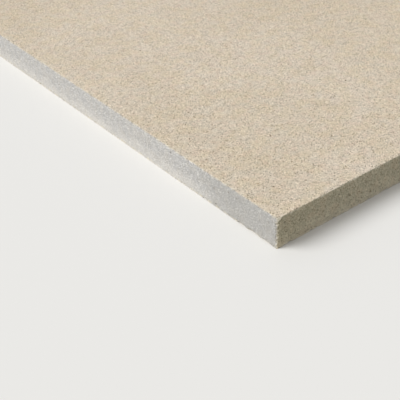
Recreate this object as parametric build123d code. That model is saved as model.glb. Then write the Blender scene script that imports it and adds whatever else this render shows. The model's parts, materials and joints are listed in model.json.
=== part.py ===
from build123d import *
import os

# Rigid mineral insulation board, one piece, pressed to thickness and sawn to size.
# Frame: origin in the middle of the bottom face, X along the length, Y along the width, Z up.
# The near corner, where the board is most worn, is the one at -X and -Y.

# Board sizes in millimetres
length = 1000.0
width = 610.0
thickness = 25.0

# Wear of the sawn edges: the four upright corners are rubbed rounder than the long arrises
upright_radius = 1.6
arris_radius = 0.7

# Top of the near corner, knocked off: how far the break runs along each of its three edges
break_along_length = 5.0
break_along_width = 3.5
break_down = 3.6

# Shell-shaped chips broken out of the arrises beside the near corner.
# Each is its distance from that corner, its length along the arris and its depth.
left_bottom_chips = ((12.5, 10.0, 1.2), (24.0, 11.5, 1.4), (36.0, 10.0, 1.1))
left_top_chips = ((48.0, 5.0, 0.8), (91.7, 6.0, 0.9), (173.6, 5.0, 0.8))
front_top_chips = ((17.5, 6.0, 0.9), (40.5, 5.0, 0.9), (94.8, 6.0, 1.0))
front_bottom_chips = ((12.0, 7.0, 1.0), (104.0, 8.0, 1.1))
# On the upright arris the distance is measured up from the bottom face
upright_chips = ((6.5, 4.5, 1.1), (13.0, 5.0, 1.2))


def sawn_board():
    board = Box(length, width, thickness, align=(Align.CENTER, Align.CENTER, Align.MIN))
    board = fillet(board.edges().filter_by(Axis.Z), upright_radius)
    faces = board.faces().sort_by(Axis.Z)
    return fillet(faces[0].edges() + faces[-1].edges(), arris_radius)


def near_corner():
    return Vector(-length / 2, -width / 2, thickness)


def corner_break():
    # A wedge of three corner points, cut by the plane of the break and overshooting outwards
    corner = near_corner()
    on_length = corner + Vector(break_along_length, 0, 0)
    on_width = corner + Vector(0, break_along_width, 0)
    on_upright = corner - Vector(0, 0, break_down)
    normal = (on_width - on_upright).cross(on_length - on_upright).normalized()
    reach = break_along_length + break_along_width + break_down
    return Plane(origin=on_upright, z_dir=-normal) * Box(
        2 * reach, 2 * reach, reach, align=(Align.CENTER, Align.CENTER, Align.MIN)
    )


def chip(on_arris, outward, chip_length, depth):
    # A ball that cuts the arris over the chip's length and sinks in by its depth
    radius = (chip_length**2 / 4 + depth**2) / (2 * depth)
    return Pos(on_arris + outward.normalized() * (radius - depth)) * Sphere(radius)


def arris_chips():
    corner = near_corner()
    foot = corner - Vector(0, 0, thickness)
    along_length = Vector(1, 0, 0)
    along_width = Vector(0, 1, 0)
    up = Vector(0, 0, 1)
    arrises = (
        (left_bottom_chips, foot, along_width, Vector(-1, 0, -1)),
        (left_top_chips, corner, along_width, Vector(-1, 0, 1)),
        (front_top_chips, corner, along_length, Vector(0, -1, 1)),
        (front_bottom_chips, foot, along_length, Vector(0, -1, -1)),
        (upright_chips, foot, up, Vector(-1, -1, 0)),
    )
    return [
        chip(start + direction * distance, outward, chip_length, depth)
        for chips, start, direction, outward in arrises
        for distance, chip_length, depth in chips
    ]


def insulation_board():
    board = sawn_board() - corner_break()
    for bite in arris_chips():
        board -= bite
    return board


os.makedirs("parts", exist_ok=True)
export_step(insulation_board(), "parts/insulation_board.step")
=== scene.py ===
import itertools
import json
import math
import random

import bmesh
import bpy
from mathutils import Matrix, Vector

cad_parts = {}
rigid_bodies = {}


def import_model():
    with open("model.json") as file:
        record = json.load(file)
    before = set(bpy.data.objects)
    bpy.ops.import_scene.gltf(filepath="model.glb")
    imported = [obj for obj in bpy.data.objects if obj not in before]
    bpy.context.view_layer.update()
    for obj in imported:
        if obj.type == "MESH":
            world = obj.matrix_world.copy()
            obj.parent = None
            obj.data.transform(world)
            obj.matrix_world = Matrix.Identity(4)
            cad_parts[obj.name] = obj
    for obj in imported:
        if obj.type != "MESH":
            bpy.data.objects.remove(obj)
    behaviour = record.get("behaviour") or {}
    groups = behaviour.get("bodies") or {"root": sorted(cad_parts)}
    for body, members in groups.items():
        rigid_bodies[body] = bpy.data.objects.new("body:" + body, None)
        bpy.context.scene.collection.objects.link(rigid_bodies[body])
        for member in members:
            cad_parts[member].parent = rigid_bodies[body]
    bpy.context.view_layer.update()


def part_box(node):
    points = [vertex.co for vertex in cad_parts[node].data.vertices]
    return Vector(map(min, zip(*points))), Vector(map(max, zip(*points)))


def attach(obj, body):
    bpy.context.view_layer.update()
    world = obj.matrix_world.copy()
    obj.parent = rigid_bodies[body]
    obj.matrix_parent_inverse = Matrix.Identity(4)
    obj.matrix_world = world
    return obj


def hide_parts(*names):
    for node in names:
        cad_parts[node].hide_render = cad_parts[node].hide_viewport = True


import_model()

MM = 0.001

# The board's own box, which every size and place below starts from
low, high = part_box("insulation_board")
size = high - low
thickness = size.z
near_foot = low.copy()
near_corner = Vector((low.x, low.y, high.z))

# Cell sizes of the board's skin: fine at the arrises and at the near corner, coarse far from it
ARRIS_STRIP = 3 * MM
ARRIS_CELL = 0.75 * MM
NEAR_CELL = 1.0 * MM
MIDDLE_CELL = 2.0 * MM
FAR_CELL = 4.0 * MM
NEAR_ALONG_LENGTH = 130 * MM
MIDDLE_ALONG_LENGTH = 300 * MM
NEAR_ALONG_WIDTH = 130 * MM
MIDDLE_ALONG_WIDTH = 430 * MM
MOST_CUTS = 100

# Crumbling of the arrises: how far in from the arris it reaches and how deep it eats,
# which is less on the long arrises than on the four uprights
CRUMBLE_REACH = 2.6 * MM
CRUMBLE_DEPTH = 0.65 * MM
NOTCH_DEPTH = 0.6 * MM
LONG_ARRIS_SHARE = 0.4

# Lumps of the uneven skins: their grain, and the levels at which they start and are full
CRUMB_LUMPS = (1.6 * MM, 0.25, 0.75)
NOTCH_LUMPS = (3.5 * MM, 0.5, 0.8)
BREAK_LUMPS = (1.5 * MM, 0.2, 0.8)
STONE_LUMPS = (0.8, 0.25, 0.75)

# Break of the near top corner, as long on each of its three edges as on the solid
BREAK_ALONG_LENGTH = 5.0 * MM
BREAK_ALONG_WIDTH = 3.5 * MM
BREAK_DOWN = 3.6 * MM
BREAK_CUTS = 40
BREAK_ROUGHNESS = 0.6 * MM

# The larger chips, at the solid's places. An arris is named by the axis that it runs along and its
# side on the two others. A chip is its distance from the near corner, length and depth, in millimetres.
LARGE_CHIPS = {
    (1, -1, -1): ((12.5, 10.0, 1.2), (24.0, 11.5, 1.4), (36.0, 10.0, 1.1)),
    (1, -1, 1): ((48.0, 5.0, 0.8), (91.7, 6.0, 0.9), (173.6, 5.0, 0.8)),
    (0, -1, 1): ((17.5, 6.0, 0.9), (40.5, 5.0, 0.9), (94.8, 6.0, 1.0)),
    (0, -1, -1): ((12.0, 7.0, 1.0), (104.0, 8.0, 1.1)),
    (2, -1, -1): ((6.5, 4.5, 1.1), (13.0, 5.0, 1.2)),
}
# Width of such a chip across the arris, for each millimetre of its depth
CHIP_SPREAD = 2.8

# The small chips: their lengths, of which a higher rarity makes the large ones rarer, their depth,
# which is a start and a share of the length, and their width for each millimetre of depth
SMALLEST_CHIP = 1.2 * MM
CHIP_RANGE = 3.5 * MM
CHIP_RARITY = 2.5
CHIP_START = 0.35 * MM
CHIP_SHARE = (0.18, 0.30)
CHIP_WIDENING = (1.0, 2.0)
UPRIGHT_CHIP_DEEPER = 1.2
LONG_CHIP_SHALLOWER = 0.75

# Room between small chips, and the range that it varies in
UPRIGHT_CHIP_SPACING = 0.6 * MM
NEAR_CHIP_SPACING = 2.5 * MM
FAR_CHIP_SPACING = 12.0 * MM
SPACING_SPREAD = (0.3, 1.7)

# Pits of the flat faces: their sizes, the grid that they are set on and where in its squares they lie
SMALLEST_PIT = 0.5 * MM
PIT_RANGE = 0.9 * MM
PIT_RARITY = 3
PIT_SPACING = 12.0 * MM
PIT_PLACES = (0.1, 0.9)
PITTED_REACH = 230 * MM
FAR_PIT_CHANCE = 0.15

# The balls that chips and pits are cut with: how many shapes, how far apart they are made, how uneven
# they are for a radius of 1, and how finely each kind is divided
STONE_SHAPES = 4
STONE_SPACING = 9.0
STONE_ROUGHNESS = 0.35
LARGE_CHIP_FINENESS = 3
SMALL_CHIP_FINENESS = 2
PIT_FINENESS = 1

# Flat skin starts this far from the arrises and keeps this share of its triangles
FLAT_FROM = 4.5 * MM
KEPT_SHARE = 0.11

# Corners this near each other are one, and edges run along an axis from this cosine up
SAME_SPOT = 0.001 * MM
PARALLEL = 0.99

SMOOTH_BELOW = math.radians(40)
AXES = (Vector((1, 0, 0)), Vector((0, 1, 0)), Vector((0, 0, 1)))
BOARD_SEED = 7


def only_active(piece):
    bpy.ops.object.select_all(action="DESELECT")
    piece.select_set(True)
    bpy.context.view_layer.objects.active = piece


def apply_place(piece):
    only_active(piece)
    bpy.ops.object.transform_apply(location=True, rotation=True, scale=True)


def apply_modifiers(piece):
    only_active(piece)
    for modifier in list(piece.modifiers):
        bpy.ops.object.modifier_apply(modifier=modifier.name)


def new_block(name, block_low, block_high):
    bpy.ops.object.select_all(action="DESELECT")
    bpy.ops.mesh.primitive_cube_add(size=1, location=(block_low + block_high) / 2)
    block = bpy.context.active_object
    block.name = name
    block.scale = block_high - block_low
    apply_place(block)
    return block


def select_edges_along(piece, axis, start, end):
    # Edges that run along the axis and have their middle between start and end
    mesh = bmesh.from_edit_mesh(piece.data)
    for edge in mesh.edges:
        one, other = edge.verts[0].co, edge.verts[1].co
        runs = (one - other).normalized()
        edge.select = abs(runs[axis]) > PARALLEL and start < (one[axis] + other[axis]) / 2 < end
    bmesh.update_edit_mesh(piece.data)


def cut_evenly(piece, axis, start, end, cell):
    cells = max(1, round((end - start) / cell))
    rounds = math.ceil(cells / MOST_CUTS)
    for count in (rounds, math.ceil(cells / rounds)):
        if count > 1:
            select_edges_along(piece, axis, start, end)
            bpy.ops.mesh.subdivide(number_cuts=count - 1)


def cut_in_zones(piece, axis, stops):
    # Stops are pairs of a place along the axis and the cell size from there to the next place
    only_active(piece)
    bpy.ops.object.mode_set(mode="EDIT")
    bpy.ops.mesh.select_mode(type="EDGE")
    for place, _ in stops[1:-1]:
        bpy.ops.mesh.select_all(action="SELECT")
        bpy.ops.mesh.bisect(plane_co=AXES[axis] * place, plane_no=AXES[axis])
    for (start, cell), (end, _) in zip(stops, stops[1:]):
        cut_evenly(piece, axis, start, end, cell)
    bpy.ops.object.mode_set(mode="OBJECT")


def cut_board(board):
    cut_in_zones(board, 0, (
        (low.x, ARRIS_CELL),
        (low.x + ARRIS_STRIP, NEAR_CELL),
        (low.x + NEAR_ALONG_LENGTH, MIDDLE_CELL),
        (low.x + MIDDLE_ALONG_LENGTH, FAR_CELL),
        (high.x - ARRIS_STRIP, ARRIS_CELL),
        (high.x, 0),
    ))
    cut_in_zones(board, 1, (
        (low.y, ARRIS_CELL),
        (low.y + ARRIS_STRIP, NEAR_CELL),
        (low.y + NEAR_ALONG_WIDTH, MIDDLE_CELL),
        (low.y + MIDDLE_ALONG_WIDTH, FAR_CELL),
        (high.y - ARRIS_STRIP, ARRIS_CELL),
        (high.y, 0),
    ))
    cut_in_zones(board, 2, (
        (low.z, ARRIS_CELL),
        (low.z + ARRIS_STRIP, NEAR_CELL),
        (high.z - ARRIS_STRIP, ARRIS_CELL),
        (high.z, 0),
    ))


def distances(point):
    # Distance of a point from the nearest end, long edge and face of the board
    return (
        min(point.x - low.x, high.x - point.x),
        min(point.y - low.y, high.y - point.y),
        min(point.z - low.z, high.z - point.z),
    )


def weigh(board, name, weight_of):
    group = board.vertex_groups.new(name=name)
    for vertex in board.data.vertices:
        weight = weight_of(distances(vertex.co))
        if weight > 0:
            group.add([vertex.index], weight, "REPLACE")


def lumps(name, grain, lowest, highest):
    # Uneven lumps of a grain, from flat below the lowest level to full above the highest
    texture = bpy.data.textures.new(name, type="CLOUDS")
    texture.noise_scale = grain
    texture.use_color_ramp = True
    ends = texture.color_ramp.elements
    ends[0].position = lowest
    ends[0].color = (0, 0, 0, 1)
    ends[1].position = highest
    ends[1].color = (1, 1, 1, 1)
    return texture


def displace(piece, texture, depth, group=""):
    change = piece.modifiers.new(texture.name, "DISPLACE")
    change.texture = texture
    change.texture_coords = "LOCAL"
    change.mid_level = 0
    change.strength = -depth
    change.vertex_group = group


def crumbling(away):
    # Full on the line of an arris and fading to nothing at its reach
    on_upright = away[2] > max(away[:2])
    return (1 - sorted(away)[1] / CRUMBLE_REACH) * (1 if on_upright else LONG_ARRIS_SHARE)


def crumble_arrises(board):
    weigh(board, "arris", crumbling)
    displace(board, lumps("crumbs", *CRUMB_LUMPS), CRUMBLE_DEPTH, "arris")
    displace(board, lumps("notches", *NOTCH_LUMPS), NOTCH_DEPTH, "arris")
    apply_modifiers(board)


def thin_flat_faces(board, kept_share):
    # Away from the arrises the board is flat, so few triangles hold it
    weigh(board, "flat", lambda away: float(sorted(away)[1] > FLAT_FROM))
    thin = board.modifiers.new("thin", "DECIMATE")
    thin.ratio = kept_share
    thin.vertex_group = "flat"
    apply_modifiers(board)


def rough_stones(fineness):
    # What broke away, as a ball of unit size with an uneven skin, in a few shapes
    stones = []
    for number in range(STONE_SHAPES):
        apart = Vector((STONE_SPACING * (number + 1), 0, 0))
        bpy.ops.object.select_all(action="DESELECT")
        bpy.ops.mesh.primitive_ico_sphere_add(subdivisions=fineness, radius=1, location=apart)
        stone = bpy.context.active_object
        apply_place(stone)
        displace(stone, lumps("stone skin", *STONE_LUMPS), STONE_ROUGHNESS)
        apply_modifiers(stone)
        stone.data.transform(Matrix.Translation(-apart))
        stones.append(stone)
    return stones


def bite(dice, stones, place, directions, reaches):
    # A stone at a place, stretched by its reach along each of three directions
    cutter = bpy.data.objects.new("bite", dice.choice(stones).data.copy())
    bpy.context.collection.objects.link(cutter)
    angle = dice.uniform(0, 2 * math.pi)
    tumble = Matrix.Rotation(angle, 4, Vector([dice.gauss(0, 1) for _ in range(3)]))
    stretch = Matrix.Diagonal((*reaches, 1))
    turn = Matrix(directions).transposed().to_4x4()
    cutter.data.transform(Matrix.Translation(place) @ turn @ stretch @ tumble)
    return cutter


def arris(axis, one_side, other_side):
    # Start, run and outward direction of the arris along an axis, at -1 or 1 on the two other axes
    start = low.copy()
    outward = Vector((0, 0, 0))
    for other, side in zip([i for i in range(3) if i != axis], (one_side, other_side)):
        start[other] = high[other] if side > 0 else low[other]
        outward[other] = side
    return start, AXES[axis], outward.normalized()


def chip(dice, stones, where, distance, length, depth, width):
    start, run, outward = arris(*where)
    across = run.cross(outward)
    fuller = 1 / (1 - STONE_ROUGHNESS / 2)
    reaches = Vector((length / 2, depth, width)) * fuller
    return bite(dice, stones, start + run * distance, (run, outward, across), reaches)


def large_chips(dice, stones):
    return [
        chip(dice, stones, where, distance * MM, length * MM, depth * MM, depth * CHIP_SPREAD * MM)
        for where, chips in LARGE_CHIPS.items()
        for distance, length, depth in chips
    ]


def chip_spacing(axis, side, distance):
    # Close together by the near corner, which was knocked most, and far apart elsewhere
    if axis == 2:
        return UPRIGHT_CHIP_SPACING
    return NEAR_CHIP_SPACING if side < 0 and distance < NEAR_ALONG_WIDTH else FAR_CHIP_SPACING


def small_chips(dice, stones):
    cutters = []
    for where in itertools.product(range(3), (-1, 1), (-1, 1)):
        axis, side, _ = where
        distance = dice.uniform(0, FAR_CHIP_SPACING)
        while distance < size[axis]:
            length = SMALLEST_CHIP + CHIP_RANGE * dice.random() ** CHIP_RARITY
            depth = CHIP_START + length * dice.uniform(*CHIP_SHARE)
            depth *= UPRIGHT_CHIP_DEEPER if axis == 2 else LONG_CHIP_SHALLOWER
            width = depth * dice.uniform(*CHIP_WIDENING)
            cutters.append(chip(dice, stones, where, distance, length, depth, width))
            distance += length + chip_spacing(axis, side, distance) * dice.uniform(*SPACING_SPREAD)
    return cutters


def face_pits(dice, stones, axis, side):
    # Pits where a grain fell out of a flat face, on an uneven grid that is full only by the near corner
    across, along = [i for i in range(3) if i != axis]
    level = high[axis] if side > 0 else low[axis]
    pits = []
    for column in range(int(size[across] / PIT_SPACING)):
        for row in range(int(size[along] / PIT_SPACING)):
            place = low.copy()
            place[axis] = level
            place[across] += (column + dice.uniform(*PIT_PLACES)) * PIT_SPACING
            place[along] += (row + dice.uniform(*PIT_PLACES)) * PIT_SPACING
            radius = SMALLEST_PIT + PIT_RANGE * dice.random() ** PIT_RARITY
            chance = 1 if max(place - low) < PITTED_REACH else FAR_PIT_CHANCE
            clear = min(min(place[i] - low[i], high[i] - place[i]) for i in (across, along))
            if dice.random() < chance and clear > CRUMBLE_REACH:
                pits.append(bite(dice, stones, place, AXES, (radius, radius, radius)))
    return pits


def corner_break():
    # The rough plane that the near top corner broke off along
    reach = BREAK_ALONG_LENGTH + BREAK_ALONG_WIDTH + BREAK_DOWN
    block = new_block("break", Vector((-reach, -reach, 0)), Vector((reach, reach, reach)))
    bpy.ops.object.mode_set(mode="EDIT")
    bpy.ops.mesh.select_all(action="SELECT")
    bpy.ops.mesh.subdivide(number_cuts=BREAK_CUTS)
    bpy.ops.object.mode_set(mode="OBJECT")
    displace(block, lumps("break skin", *BREAK_LUMPS), BREAK_ROUGHNESS)
    apply_modifiers(block)
    outward = Vector((-1 / BREAK_ALONG_LENGTH, -1 / BREAK_ALONG_WIDTH, 1 / BREAK_DOWN)).normalized()
    turn = outward.to_track_quat("Z", "Y").to_matrix().to_4x4()
    foot = near_corner - Vector((0, 0, BREAK_DOWN)) - outward * BREAK_ROUGHNESS / 2
    block.data.transform(Matrix.Translation(foot) @ turn)
    return block


def join(pieces):
    bpy.ops.object.select_all(action="DESELECT")
    for piece in pieces:
        piece.select_set(True)
    bpy.context.view_layer.objects.active = pieces[0]
    bpy.ops.object.join()
    return pieces[0]


def cut_away(board, cutter):
    cut = board.modifiers.new("cut", "BOOLEAN")
    cut.operation = "DIFFERENCE"
    cut.solver = "MANIFOLD"
    cut.object = cutter
    apply_modifiers(board)
    bpy.data.objects.remove(cutter)


def clean_up(board):
    # Merges corners that the cuts left on one spot, then drops the crumbs that the chips cut free,
    # which is all but the part that holds the far top corner
    only_active(board)
    bpy.ops.object.mode_set(mode="EDIT")
    bpy.ops.mesh.select_mode(type="VERT")
    bpy.ops.mesh.select_all(action="SELECT")
    bpy.ops.mesh.remove_doubles(threshold=SAME_SPOT)
    bpy.ops.mesh.select_all(action="DESELECT")
    mesh = bmesh.from_edit_mesh(board.data)
    min(mesh.verts, key=lambda vertex: (vertex.co - high).length).select = True
    bmesh.update_edit_mesh(board.data)
    bpy.ops.mesh.select_linked()
    bpy.ops.mesh.select_all(action="INVERT")
    bpy.ops.mesh.delete(type="VERT")
    bpy.ops.object.mode_set(mode="OBJECT")


def make_triangles(board):
    # Where two faces share two sides in a row, splitting them can leave a loose flap with open edges.
    # The flap goes, which closes the mesh.
    only_active(board)
    bpy.ops.object.mode_set(mode="EDIT")
    bpy.ops.mesh.select_mode(type="FACE")
    bpy.ops.mesh.select_all(action="SELECT")
    bpy.ops.mesh.quads_convert_to_tris(quad_method="BEAUTY", ngon_method="CLIP")
    bpy.ops.mesh.select_all(action="DESELECT")
    mesh = bmesh.from_edit_mesh(board.data)
    for edge in mesh.edges:
        if edge.is_boundary:
            edge.link_faces[0].select = True
    bmesh.update_edit_mesh(board.data)
    bpy.ops.mesh.delete(type="FACE")
    bpy.ops.object.mode_set(mode="OBJECT")


def make_board():
    dice = random.Random(BOARD_SEED)
    board = new_block("board", low, high)
    cut_board(board)
    crumble_arrises(board)
    thin_flat_faces(board, KEPT_SHARE)
    stones = rough_stones(LARGE_CHIP_FINENESS)
    crumbs = rough_stones(SMALL_CHIP_FINENESS)
    grains = rough_stones(PIT_FINENESS)
    cut_away(board, corner_break())
    cut_away(board, join(large_chips(dice, stones)))
    cut_away(board, join(small_chips(dice, crumbs)))
    for axis in range(3):
        for side in (-1, 1):
            cut_away(board, join(face_pits(dice, grains, axis, side)))
    for stone in stones + crumbs + grains:
        bpy.data.objects.remove(stone)
    clean_up(board)
    make_triangles(board)
    only_active(board)
    bpy.ops.object.shade_smooth_by_angle(angle=SMOOTH_BELOW)
    return board


class Value:
    """One value of a finish. Arithmetic on it adds the Math nodes that work it out."""

    def __init__(self, finish, socket):
        self.finish = finish
        self.socket = socket

    def maths(self, operation, *values):
        return self.finish.node("ShaderNodeMath", {"operation": operation}, dict(enumerate(values)))

    def __add__(self, other):
        return self.maths("ADD", self, other)

    def __radd__(self, other):
        return self.maths("ADD", other, self)

    def __sub__(self, other):
        return self.maths("SUBTRACT", self, other)

    def __rsub__(self, other):
        return self.maths("SUBTRACT", other, self)

    def __mul__(self, other):
        return self.maths("MULTIPLY", self, other)

    def __rmul__(self, other):
        return self.maths("MULTIPLY", other, self)

    def size(self):
        return self.maths("ABSOLUTE", self)

    def least(self, other):
        return self.maths("MINIMUM", self, other)

    def most(self, other):
        return self.maths("MAXIMUM", self, other)

    def rise(self, start, end):
        # Goes smoothly from 0 at start to 1 at end
        return self.finish.node("ShaderNodeMapRange", {"interpolation_type": "SMOOTHSTEP"}, {
            "Value": self, "From Min": start, "From Max": end,
        })


class Finish:
    """The nodes of a material or of the world around the board, in the making."""

    def __init__(self, owner):
        owner.use_nodes = True
        self.owner = owner
        self.tree = owner.node_tree
        self.tree.nodes.clear()

    def add(self, kind, settings, inputs):
        node = self.tree.nodes.new(kind)
        for key, value in settings.items():
            setattr(node, key, value)
        for key, value in inputs.items():
            if isinstance(value, Value):
                self.tree.links.new(value.socket, node.inputs[key])
            else:
                node.inputs[key].default_value = value
        return node

    def node(self, kind, settings, inputs, output=0):
        return Value(self, self.add(kind, settings, inputs).outputs[output])

    def blend(self, factor, one, other, how="MIX"):
        settings = {"data_type": "RGBA", "blend_type": how, "clamp_factor": True}
        return self.node("ShaderNodeMix", settings, {0: factor, 6: one, 7: other}, 2)

    def coats(self, colour, *coats):
        # Each coat is a mask and the paint that it lays over what is there
        for mask, paint_over in coats:
            colour = self.blend(mask, colour, paint_over)
        return colour

    def parts(self, colour):
        split = self.add("ShaderNodeSeparateColor", {}, {0: colour})
        return [Value(self, socket) for socket in split.outputs]


def paint(red, green, blue):
    # A colour as a picture shows it, from 0 to 255, made a colour of light by the sRGB curve
    def light(level):
        level = level / 255
        return level / 12.92 if level <= 0.04045 else ((level + 0.055) / 1.055) ** 2.4
    return (light(red), light(green), light(blue), 1)


# Paints of the mix on the faces, the sawn ends and the long edges, and where it is freshly broken.
# Its binder is a pair of paints, from dark to light.
FACE_BINDER = (paint(186, 172, 151), paint(237, 225, 209))
FACE_YELLOW = paint(214, 198, 164)
FACE_PINK = paint(220, 194, 176)
FACE_GREY = paint(204, 199, 186)
FACE_DARK_GRAIN = paint(104, 90, 70)
FACE_LIGHT_GRAIN = paint(252, 240, 221)
PAINTED_HOLE_SHADE = paint(112, 98, 78)

# The ends' cool neutral grey is partly their own tone and partly painted cool light
END_BINDER_WITH_PAINTED_COOL_LIGHT = (paint(160, 159, 160), paint(231, 230, 230))
END_STREAK = paint(180, 180, 180)
END_PINK = paint(208, 203, 197)
END_MOTTLE = paint(150, 149, 147)
END_DARK_GRAIN = paint(124, 122, 116)
END_LIGHT_GRAIN = paint(246, 245, 243)
END_PAINTED_BOUNCE = paint(240, 236, 231)
END_PAINTED_SHADE = paint(162, 161, 158)

# The long edges' paints are darker and warmer than the ends', partly their own tone and partly painted
# warm shade
EDGE_BINDER_WITH_PAINTED_SHADE = (paint(146, 141, 123), paint(204, 199, 180))
EDGE_PAINTED_BOUNCE = paint(228, 221, 202)
EDGE_PINK = paint(196, 180, 158)
EDGE_DARK_GRAIN = paint(88, 78, 58)
EDGE_LIGHT_GRAIN = paint(226, 218, 198)
EDGE_CHALK_AND_PAINTED_LIGHT = paint(238, 231, 214)

BREAK_BINDER = (paint(221, 213, 194), paint(247, 241, 225))
BREAK_DARK_GRAIN = paint(150, 138, 114)
DARK_UPRIGHT_SPOT = paint(140, 134, 118)
PALE_KNOCK = paint(250, 247, 236)

# Share of each colour of light that the darker clouds and the slow drifts of the mix leave
CLOUD_TINT = (0.98, 0.973, 0.965, 1)
DRIFT_TINT = (0.965, 0.957, 0.935, 1)

# Sizes of what the mix holds and of the patches in its colour, in millimetres
DUST_SIZE = 0.4
GRAIN_SIZE = 0.6
DARK_GRAIN_SPACING = 1.15
HOLE_SPACING = 2.4
MOTTLE_SIZE = 1.1
KNOCK_SIZE = 1.8
WOBBLE_SIZE = 2.0
RUB_SIZE = 5.0
PINK_PATCH = 6.0
GREY_PATCH = 7.5
YELLOW_PATCH = 14.0
CLOUD_SIZE = 45.0
DRIFT_SIZE = 170.0

# Saw streaks are long along a side and narrow across its thickness
STREAK_SQUEEZE = (0.03, 0.03, 1.0)
STREAK_SIZE = 2.0

BUMP_HEIGHT = 0.25 * MM


class BoardFinish(Finish):
    """The finish of the board. Its places are in millimetres, and all its colours share one mix.

    The two numbers of a rise are millimetres where it reads a distance, and levels of a pattern,
    from 0 to 1, where it reads one. A mask times a number is a coat that covers that share.
    """

    def __init__(self):
        super().__init__(bpy.data.materials.new("pressed mineral mix"))
        place = self.node("ShaderNodeTexCoord", {}, {}, "Object")
        self.place = self.node("ShaderNodeVectorMath", {"operation": "SCALE"}, {
            0: place, "Scale": 1 / MM,
        })
        self.find_zones()
        self.strew_grains()
        self.lay_patches()

    def noise(self, grain, detail=2.0, roughness=0.5):
        return self.node("ShaderNodeTexNoise", {}, {
            "Vector": self.place, "Scale": 1 / grain, "Detail": detail, "Roughness": roughness,
        })

    def cells(self, grain, output, unevenness=1.0):
        return self.node("ShaderNodeTexVoronoi", {}, {
            "Vector": self.place, "Scale": 1 / grain, "Randomness": unevenness,
        }, output)

    def find_zones(self):
        # Distances from the ends, the long edges and the faces, and the zones that they mark off
        split = self.add("ShaderNodeSeparateXYZ", {}, {0: self.place})
        x, y, self.z = [Value(self, socket) for socket in split.outputs]
        self.from_front = y + size.y / 2 / MM
        self.from_end = size.x / 2 / MM - x.size()
        from_edge = size.y / 2 / MM - y.size()
        from_side = self.from_end.least(from_edge)
        from_face = self.z.least(thickness / MM - self.z)
        self.wobble = self.noise(WOBBLE_SIZE) - 0.5
        self.on_face = (from_side - from_face + self.wobble * 1.4).rise(-0.5, 0.7)
        self.on_end = (from_edge - self.from_end).rise(-0.3, 0.3)
        self.broken = (from_side.least(from_face) + self.wobble * 0.8).rise(0.1, 0.9)
        self.on_rim = 1 - (from_side.most(from_face) + self.wobble * 5).rise(0.3, 2.0)
        near_upright = (self.from_end * 3.6).most(from_edge) + self.wobble * 5
        self.on_upright = 1 - near_upright.rise(0.0, 1.7)

    def strew_grains(self):
        # Dust that binds, light and dark grains, and the holes of grains that fell out
        self.dust = self.noise(DUST_SIZE, 2.0, 0.6)
        self.binder = self.dust.rise(0.3, 0.7)
        grain = self.parts(self.cells(GRAIN_SIZE, "Color"))
        inside = 1 - self.cells(GRAIN_SIZE, "Distance").rise(0.45, 0.8)
        self.light_grain = grain[1].rise(0.78, 0.86) * inside
        self.grain_height = grain[2]
        spot = 1 - self.cells(DARK_GRAIN_SPACING, "Distance", 0.8).rise(0.27, 0.48)
        spot_pick = self.parts(self.cells(DARK_GRAIN_SPACING, "Color", 0.8))[0]
        self.dark_grain = spot * spot_pick.rise(0.1, 0.8)
        hole = 1 - self.cells(HOLE_SPACING, "Distance").rise(0.10, 0.20)
        hole_pick = self.parts(self.cells(HOLE_SPACING, "Color"))[2]
        self.hole = hole * hole_pick.rise(0.45, 0.6)

    def lay_patches(self):
        # Patches and slow drifts of hue, what was rubbed, and painted bounce light and painted shade on
        # the sides
        self.pinkish = self.noise(PINK_PATCH, 1.0)
        self.greyish = self.noise(GREY_PATCH, 1.0)
        self.drifting = 1 - self.noise(DRIFT_SIZE, 3.0, 0.55).rise(0.4, 0.6)
        self.rubbed = self.noise(RUB_SIZE, 1.0).rise(0.4, 0.62)
        # The lower part of the sawn sides is paler, which is painted bounce light from below,
        # and the ends beside the front edge are greyer, which is painted shade
        self.foot = 1 - (self.z + (self.greyish - 0.5) * 14).rise(0, 0.6 * thickness / MM)
        self.painted_front_shade = 1 - (self.from_front + (self.greyish - 0.5) * 40).rise(40, 102)

    def face_colour(self):
        yellowish = self.noise(YELLOW_PATCH, 1.0)
        cloudy = self.noise(CLOUD_SIZE, 4.0, 0.6)
        colour = self.coats(
            self.blend(self.binder, *FACE_BINDER),
            (yellowish.rise(0.4, 0.62) * 0.35, FACE_YELLOW),
            (self.pinkish.rise(0.46, 0.66) * 0.26, FACE_PINK),
            (self.greyish.rise(0.48, 0.68) * 0.28, FACE_GREY),
            (self.dark_grain * 0.9, FACE_DARK_GRAIN),
            (self.light_grain * 0.9, FACE_LIGHT_GRAIN),
        )
        colour = self.blend(cloudy.rise(0.42, 0.62), colour, CLOUD_TINT, "MULTIPLY")
        colour = self.blend(self.drifting, colour, DRIFT_TINT, "MULTIPLY")
        # The holes are darkened with painted shade, as well as sunk by the bump
        return self.blend(self.hole * 0.85, colour, PAINTED_HOLE_SHADE)

    def end_colour_with_painted_light(self):
        squeezed = self.node("ShaderNodeVectorMath", {"operation": "MULTIPLY"}, {
            0: self.place, 1: STREAK_SQUEEZE,
        })
        streaks = self.node("ShaderNodeTexNoise", {}, {
            "Vector": squeezed, "Scale": 1 / STREAK_SIZE, "Detail": 3.0,
        })
        mottled = self.noise(MOTTLE_SIZE, 1.0)
        # The ends' grey is partly painted cool light
        return self.coats(
            self.blend(self.binder, *END_BINDER_WITH_PAINTED_COOL_LIGHT),
            (streaks.rise(0.45, 0.7) * 0.25, END_STREAK),
            (self.pinkish.rise(0.45, 0.65) * 0.4, END_PINK),
            (mottled.rise(0.45, 0.7) * 0.3, END_MOTTLE),
            (self.dark_grain, END_DARK_GRAIN),
            (self.light_grain * 0.9, END_LIGHT_GRAIN),
            # Paler foot of the ends: painted bounce light, held back where they carry painted shade
            (self.foot * (1 - self.painted_front_shade * 0.85) * 0.4, END_PAINTED_BOUNCE),
            # Greyer ends beside the front edge: painted shade
            (self.painted_front_shade * 0.38, END_PAINTED_SHADE),
        )

    def edge_colour_with_painted_light(self):
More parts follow.
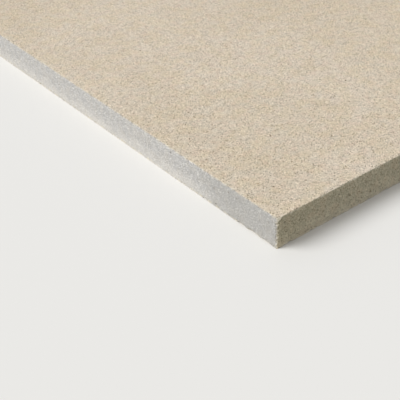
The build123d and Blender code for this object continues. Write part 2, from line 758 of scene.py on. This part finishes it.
        # The long edges are darker and warmer than the ends, partly as painted warm shade
        colour = self.coats(
            self.blend(self.binder, *EDGE_BINDER_WITH_PAINTED_SHADE),
            # Paler foot of the long edges: painted bounce light
            (self.foot * 0.55, EDGE_PAINTED_BOUNCE),
            (self.pinkish.rise(0.46, 0.66) * 0.35, EDGE_PINK),
            (self.dark_grain * 0.8, EDGE_DARK_GRAIN),
            (self.light_grain * 0.7, EDGE_LIGHT_GRAIN),
        )
        colour = self.blend(self.drifting, colour, DRIFT_TINT, "MULTIPLY")
        # A pale fringe along the foot of the long edges: partly pale crumbs, partly painted light
        # against the floor's shade
        chalk_and_painted_light = (1 - (self.z + self.wobble * 2).rise(0.6, 1.9)) * self.from_end.rise(0, 10)
        return self.blend(chalk_and_painted_light * (self.rubbed * 0.5 + 0.4), colour, EDGE_CHALK_AND_PAINTED_LIGHT)

    def worn(self, colour):
        # The fresh mix shows where the arrises and uprights are broken or rubbed, less on the long edges
        fresh = self.blend(self.binder, *BREAK_BINDER)
        fresh = self.blend(self.dark_grain * 0.7, fresh, BREAK_DARK_GRAIN)
        # Rubbed rims, paler at the foot, where the extra paleness is painted light against the shade by
        # the floor
        rubbed_rim_with_painted_light = self.on_rim * self.rubbed * (self.foot * 0.3 + 0.7)
        wear = self.broken.most(rubbed_rim_with_painted_light).most(self.on_upright) * (self.on_end * 0.5 + 0.5)
        knocks = self.noise(KNOCK_SIZE, 1.0)
        return self.coats(
            colour,
            (wear * 0.75, fresh),
            # Darker spots along the uprights
            (self.on_upright * (1 - knocks).rise(0.52, 0.62) * 0.45, DARK_UPRIGHT_SPOT),
            (self.on_upright * knocks.rise(0.48, 0.58) * 0.9, PALE_KNOCK),
        )


def board_finish():
    finish = BoardFinish()
    side = finish.blend(finish.on_end, finish.edge_colour_with_painted_light(), finish.end_colour_with_painted_light())
    colour = finish.worn(finish.blend(finish.on_face, side, finish.face_colour()))
    height = finish.dust * 0.5 + finish.grain_height * 0.35 - finish.hole * 1.2
    bump = finish.node("ShaderNodeBump", {}, {
        "Strength": 0.5, "Distance": BUMP_HEIGHT, "Height": height,
    })
    # The light grains are quartz, a little smoother than the dusty binder
    roughness = 0.95 - finish.dust * 0.05 - finish.light_grain * 0.2
    shader = finish.node("ShaderNodeBsdfPrincipled", {}, {
        "Base Color": colour, "Roughness": roughness, "Specular IOR Level": 0.2, "Normal": bump,
    })
    finish.add("ShaderNodeOutputMaterial", {}, {"Surface": shader})
    return finish.owner


WHITE = (1, 1, 1, 1)
FLOOR_SEEN = paint(236, 235, 232)
FLOOR_BOUNCE = paint(206, 201, 186)
FLOOR_REACH = 30.0
FLOOR_CORNERS = 64
SKY_LIGHT = 0.42
SUN_STRENGTH = 2.45
SUN_TOWARD = Vector((-0.60, 0.35, 0.72))
SUN_DISTANCE = 3.0
SUN_SOFTNESS = math.radians(35)


def seen(finish):
    # 1 where the pale background shows, directly or in a gloss, and 0 where it only lights the board
    path = finish.add("ShaderNodeLightPath", {}, {})
    camera, gloss, clear = [
        Value(finish, path.outputs[name])
        for name in ("Is Camera Ray", "Is Glossy Ray", "Is Transmission Ray")
    ]
    return camera.most(gloss).most(clear)


def floor_finish():
    finish = Finish(bpy.data.materials.new("floor"))
    colour = finish.blend(seen(finish), FLOOR_BOUNCE, FLOOR_SEEN)
    shader = finish.node("ShaderNodeBsdfDiffuse", {}, {"Color": colour})
    finish.add("ShaderNodeOutputMaterial", {}, {"Surface": shader})
    return finish.owner


def make_floor():
    bpy.ops.object.select_all(action="DESELECT")
    bpy.ops.mesh.primitive_circle_add(
        vertices=FLOOR_CORNERS, radius=FLOOR_REACH, fill_type="NGON", location=(0, 0, low.z)
    )
    floor = bpy.context.active_object
    floor.name = "floor"
    floor.data.materials.append(floor_finish())


def light_studio():
    sky = Finish(bpy.data.worlds.new("studio"))
    ambient = sky.node("ShaderNodeBackground", {}, {"Color": WHITE, "Strength": SKY_LIGHT})
    backdrop = sky.node("ShaderNodeBackground", {}, {"Color": FLOOR_SEEN, "Strength": 1})
    both = sky.node("ShaderNodeMixShader", {}, {0: seen(sky), 1: ambient, 2: backdrop})
    sky.add("ShaderNodeOutputWorld", {}, {"Surface": both})
    bpy.context.scene.world = sky.owner

    bpy.ops.object.light_add(type="SUN", location=SUN_TOWARD * SUN_DISTANCE)
    sun = bpy.context.active_object
    sun.data.energy = SUN_STRENGTH
    sun.data.angle = SUN_SOFTNESS
    sun.rotation_mode = "QUATERNION"
    sun.rotation_quaternion = SUN_TOWARD.to_track_quat("Z", "Y")


# The camera, seen from the near foot of the board, with the photograph's heading, dip and lean
CAMERA_FROM_FOOT = Vector((-309.6, -332.75, 359.25)) * MM
CAMERA_HEADING = math.radians(53.30)
CAMERA_DIP = math.radians(35.02)
CAMERA_LEAN = math.radians(-2.46)
PICTURE_WIDTH = 400
FOCAL_PIXELS = 870
SENSOR_MM = 36
NEAREST_SEEN = 10 * MM
FARTHEST_SEEN = 4 * FLOOR_REACH
QUARTER_TURN = math.radians(90)


def place_camera():
    bpy.ops.object.camera_add()
    camera = bpy.context.active_object
    camera.data.sensor_width = SENSOR_MM
    camera.data.lens = FOCAL_PIXELS / PICTURE_WIDTH * SENSOR_MM
    camera.data.clip_start = NEAREST_SEEN
    camera.data.clip_end = FARTHEST_SEEN
    turn = (
        Matrix.Rotation(CAMERA_HEADING - QUARTER_TURN, 4, "Z")
        @ Matrix.Rotation(QUARTER_TURN - CAMERA_DIP, 4, "X")
        @ Matrix.Rotation(CAMERA_LEAN, 4, "Z")
    )
    camera.matrix_world = Matrix.Translation(near_foot + CAMERA_FROM_FOOT) @ turn
    bpy.context.scene.camera = camera


board = make_board()
board.data.materials.clear()
board.data.materials.append(board_finish())
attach(board, "root")
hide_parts("insulation_board")
make_floor()
light_studio()
place_camera()
bpy.context.scene.view_settings.view_transform = "Standard"
